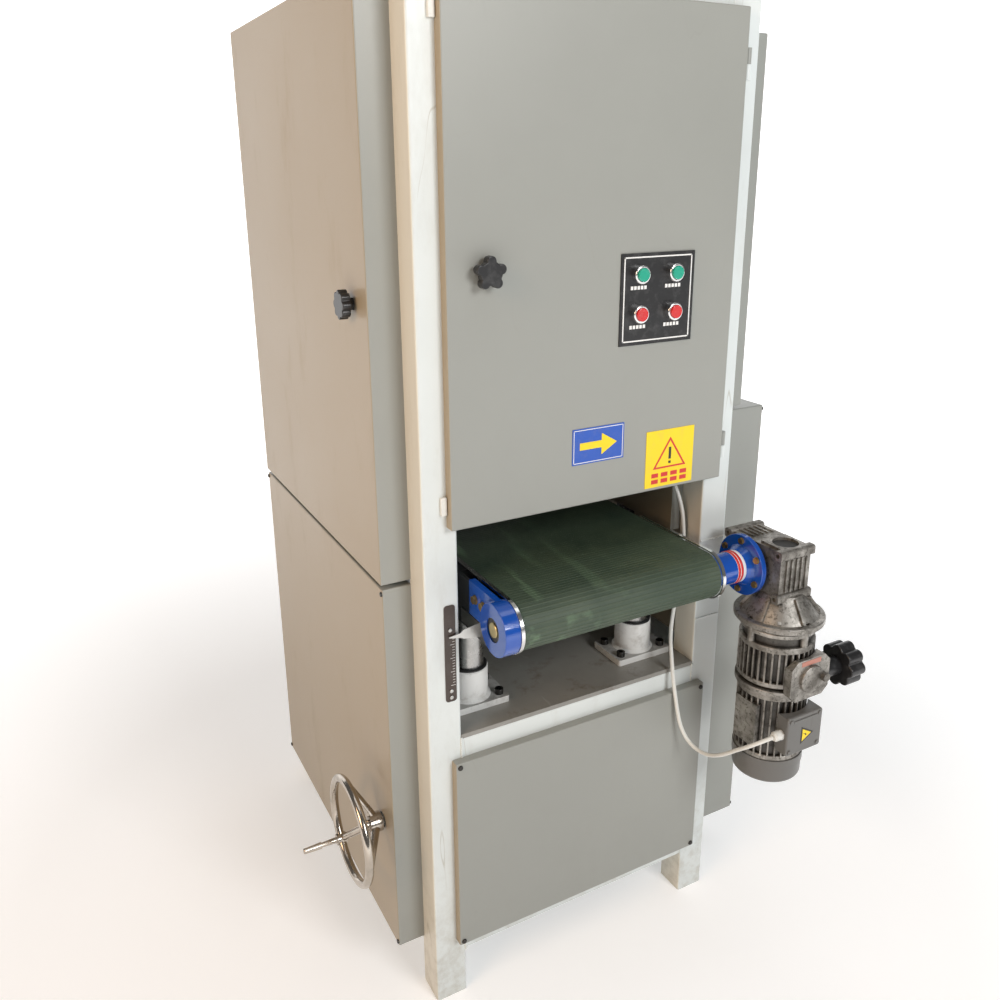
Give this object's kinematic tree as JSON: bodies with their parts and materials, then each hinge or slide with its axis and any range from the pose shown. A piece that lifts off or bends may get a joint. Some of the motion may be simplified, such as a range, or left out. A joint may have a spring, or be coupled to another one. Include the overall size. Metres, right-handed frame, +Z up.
{
  "type": "drum sander",
  "caption": "Upright through-feed drum sander with a lifting conveyor table, front drive unit, handwheel and hinged cabinet doors.",
  "frame": {"origin": "middle of the machine's footprint box, on the floor", "axes": "+Z up, +Y along the feed from the infeed side to the outfeed side, +X to the right when facing the infeed side"},
  "size_m": [0.9524, 1.1644, 1.742],
  "materials": {
    "white_paint": "semi-gloss white enamel on the welded tubes",
    "grey_paint": "satin warm grey powder coat on sheet covers",
    "deck_paint": "worn grey deck paint",
    "dark_grey": "dark grey enamel",
    "blue_enamel": "glossy blue enamel",
    "cast_aluminium": "raw die-cast aluminium",
    "motor_grey": "silver-grey motor paint",
    "machined_steel": "turned and ground steel",
    "polished_steel": "polished steel",
    "black_steel": "black oxide",
    "brass_bolts": "yellow-passivated bolts",
    "belt_rubber": "dark green ribbed rubber belt",
    "black_rubber": "black rubber",
    "abrasive_cloth": "brown abrasive cloth",
    "black_plastic": "black moulded plastic",
    "white_plastic": "white nylon and cable sheath",
    "green_plastic": "green button",
    "red_plastic": "red button",
    "bezel_chrome": "chrome bezel",
    "plate_black": "black engraved plate",
    "sign_blue": "blue plate",
    "sign_yellow": "yellow plate",
    "scale_bronze": "bronze anodised scale"
  },
  "bodies": {
    "frame": {"corner_posts": "white_paint", "frame_rails": "white_paint", "deck_plate": "deck_paint", "column_sleeves": "white_paint", "frame_screws": "black_steel", "lower_front_panel": "grey_paint", "closing_panels": "grey_paint", "left_lower_cover": "grey_paint", "belt_guard": "grey_paint", "scale_plate": "scale_bronze", "door_hardware": "white_paint", "cheek_plates": "grey_paint", "drum_bearings": "dark_grey", "dust_hood": "grey_paint", "main_motor": "motor_grey", "drive_belts": "black_rubber", "lift_gearboxes": "dark_grey"},
    "front_door": {"front_door": "grey_paint", "control_plate": "plate_black", "direction_sign": "sign_blue", "warning_plate": "sign_yellow", "button_bezels": "bezel_chrome"},
    "front_knob": {"front_knob": "black_plastic"},
    "left_door": {"left_door": "grey_paint"},
    "left_knob": {"left_knob": "black_plastic"},
    "right_door": {"right_door": "grey_paint"},
    "right_knob": {"right_knob": "black_plastic"},
    "left_start_button": {"left_start_button": "green_plastic"},
    "right_start_button": {"right_start_button": "green_plastic"},
    "left_stop_button": {"left_stop_button": "red_plastic"},
    "right_stop_button": {"right_stop_button": "red_plastic"},
    "drum": {"sanding_drum": "machined_steel", "abrasive_sleeve": "abrasive_cloth"},
    "infeed_roller": {"infeed_roller": "black_rubber"},
    "outfeed_roller": {"outfeed_roller": "black_rubber"},
    "motor_rotor": {"motor_rotor": "machined_steel"},
    "handwheel": {"handwheel": "polished_steel", "handwheel_shaft": "machined_steel"},
    "lift_shaft": {"lift_shaft": "machined_steel"},
    "lift_nut": {"lift_nut": "machined_steel"},
    "conveyor_table": {"bed_plate": "polished_steel", "bed_frame": "dark_grey", "column_rods": "machined_steel", "lift_screw": "machined_steel", "bearing_arms": "blue_enamel", "roller_bearings": "black_steel", "drive_bracket": "blue_enamel", "drive_bolts": "brass_bolts", "conveyor_belt": "belt_rubber", "scale_pointer": "machined_steel", "gearbox_housing": "cast_aluminium", "variator": "cast_aluminium", "drive_motor": "cast_aluminium", "fan_cover": "motor_grey", "terminal_box": "motor_grey", "cable_gland": "white_plastic", "motor_cable": "white_plastic"},
    "drive_roller": {"drive_roller": "machined_steel"},
    "idler_roller": {"idler_roller": "machined_steel"},
    "variator_knob": {"variator_knob": "black_plastic"}
  },
  "joints": [
    {"name": "front_door_hinge", "type": "hinge", "parent": "frame", "child": "front_door", "pos_m": [0.29375, -0.36125, 1.3], "axis": [0, 0, 1], "range_deg": [0, 110]},
    {"name": "left_door_hinge", "type": "hinge", "parent": "frame", "child": "left_door", "pos_m": [-0.30425, 0.40175, 1.3], "axis": [0, 0, -1], "range_deg": [0, 100]},
    {"name": "right_door_hinge", "type": "hinge", "parent": "frame", "child": "right_door", "pos_m": [0.33575, 0.40175, 1.3], "axis": [0, 0, 1], "range_deg": [0, 100]},
    {"name": "front_knob_turn", "type": "hinge", "parent": "front_door", "child": "front_knob", "pos_m": [-0.18925, -0.37025, 1.322], "axis": [0, -1, 0], "range_deg": [0, 90]},
    {"name": "left_knob_turn", "type": "hinge", "parent": "left_door", "child": "left_knob", "pos_m": [-0.34625, -0.23725, 1.272], "axis": [1, 0, 0], "range_deg": [0, 90]},
    {"name": "right_knob_turn", "type": "hinge", "parent": "right_door", "child": "right_knob", "pos_m": [0.39375, -0.23725, 1.272], "axis": [1, 0, 0], "range_deg": [0, 90]},
    {"name": "left_start_button_press", "type": "slide", "parent": "front_door", "child": "left_start_button", "axis": [0, 1, 0], "range_m": [0, 0.0035], "stiffness_N_per_m": 400, "springref_m": -0.002},
    {"name": "right_start_button_press", "type": "slide", "parent": "front_door", "child": "right_start_button", "axis": [0, 1, 0], "range_m": [0, 0.0035], "stiffness_N_per_m": 400, "springref_m": -0.002},
    {"name": "left_stop_button_press", "type": "slide", "parent": "front_door", "child": "left_stop_button", "axis": [0, 1, 0], "range_m": [0, 0.0035], "stiffness_N_per_m": 400, "springref_m": -0.002},
    {"name": "right_stop_button_press", "type": "slide", "parent": "front_door", "child": "right_stop_button", "axis": [0, 1, 0], "range_m": [0, 0.0035], "stiffness_N_per_m": 400, "springref_m": -0.002},
    {"name": "handwheel_turn", "type": "hinge", "parent": "frame", "child": "handwheel", "pos_m": [-0.37425, -0.24525, 0.345], "axis": [1, 0, 0], "range_deg": [-6480, 3600]},
    {"name": "table_lift", "type": "slide", "parent": "frame", "child": "conveyor_table", "axis": [0, 0, 1], "range_m": [-0.09, 0.05], "deforming": ["motor_cable"]},
    {"name": "lift_shaft_turn", "type": "hinge", "parent": "frame", "child": "lift_shaft", "pos_m": [0.00875, -0.05225, 0.345], "axis": [0, 1, 0], "range_deg": [-6480, 3600]},
    {"name": "lift_nut_turn", "type": "hinge", "parent": "frame", "child": "lift_nut", "pos_m": [0.00875, 0.04775, 0.315], "axis": [0, 0, -1], "range_deg": [-6480, 3600]},
    {"name": "drum_spin", "type": "hinge", "parent": "frame", "child": "drum", "pos_m": [0.00875, 0.04775, 0.953], "axis": [1, 0, 0], "continuous": true},
    {"name": "motor_spin", "type": "hinge", "parent": "frame", "child": "motor_rotor", "pos_m": [0.32575, 0.20775, 0.267], "axis": [1, 0, 0], "continuous": true},
    {"name": "infeed_roller_spin", "type": "hinge", "parent": "frame", "child": "infeed_roller", "pos_m": [0.00875, -0.06725, 0.898], "axis": [1, 0, 0], "continuous": true},
    {"name": "outfeed_roller_spin", "type": "hinge", "parent": "frame", "child": "outfeed_roller", "pos_m": [0.00875, 0.16275, 0.898], "axis": [1, 0, 0], "continuous": true},
    {"name": "drive_roller_spin", "type": "hinge", "parent": "conveyor_table", "child": "drive_roller", "pos_m": [0.00875, -0.44225, 0.785], "axis": [1, 0, 0], "continuous": true},
    {"name": "idler_roller_spin", "type": "hinge", "parent": "conveyor_table", "child": "idler_roller", "pos_m": [0.00875, 0.53775, 0.785], "axis": [1, 0, 0], "continuous": true},
    {"name": "speed_knob_turn", "type": "hinge", "parent": "conveyor_table", "child": "variator_knob", "pos_m": [0.42775, -0.54225, 0.588], "axis": [1, 0, 0], "range_deg": [-720, 720]}
  ],
  "couplings": [
    {"joint": "table_lift", "follows": "handwheel_turn", "m_per_rad": 0.00079577},
    {"joint": "lift_shaft_turn", "follows": "handwheel_turn", "ratio": 1},
    {"joint": "lift_nut_turn", "follows": "handwheel_turn", "ratio": 1},
    {"joint": "motor_spin", "follows": "drum_spin", "ratio": 0.8},
    {"joint": "idler_roller_spin", "follows": "drive_roller_spin", "ratio": 1}
  ]
}
